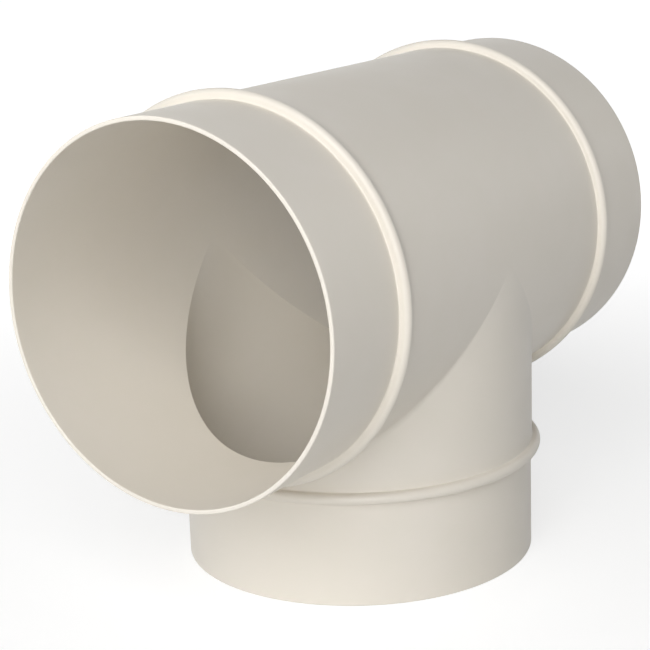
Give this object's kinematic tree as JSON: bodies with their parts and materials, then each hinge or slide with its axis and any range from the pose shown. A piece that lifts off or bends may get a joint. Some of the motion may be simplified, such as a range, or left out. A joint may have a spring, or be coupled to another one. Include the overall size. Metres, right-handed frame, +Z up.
{
  "type": "duct tee",
  "caption": "Equal T-piece for round ventilation duct: a moulded plastic body whose plain spigots slide into the ducts as far as a raised stop bead.",
  "frame": {"origin": "middle of the branch's mouth, which is the face that the tee stands on", "axes": "+X along the straight run, +Z up along the branch's axis from its mouth towards the run, +Y across both"},
  "size_m": [0.26, 0.157, 0.2085],
  "materials": {
    "ivory_plastic": "satin, as moulded"
  },
  "bodies": {
    "root": {"duct_tee": "ivory_plastic"}
  },
  "joints": []
}
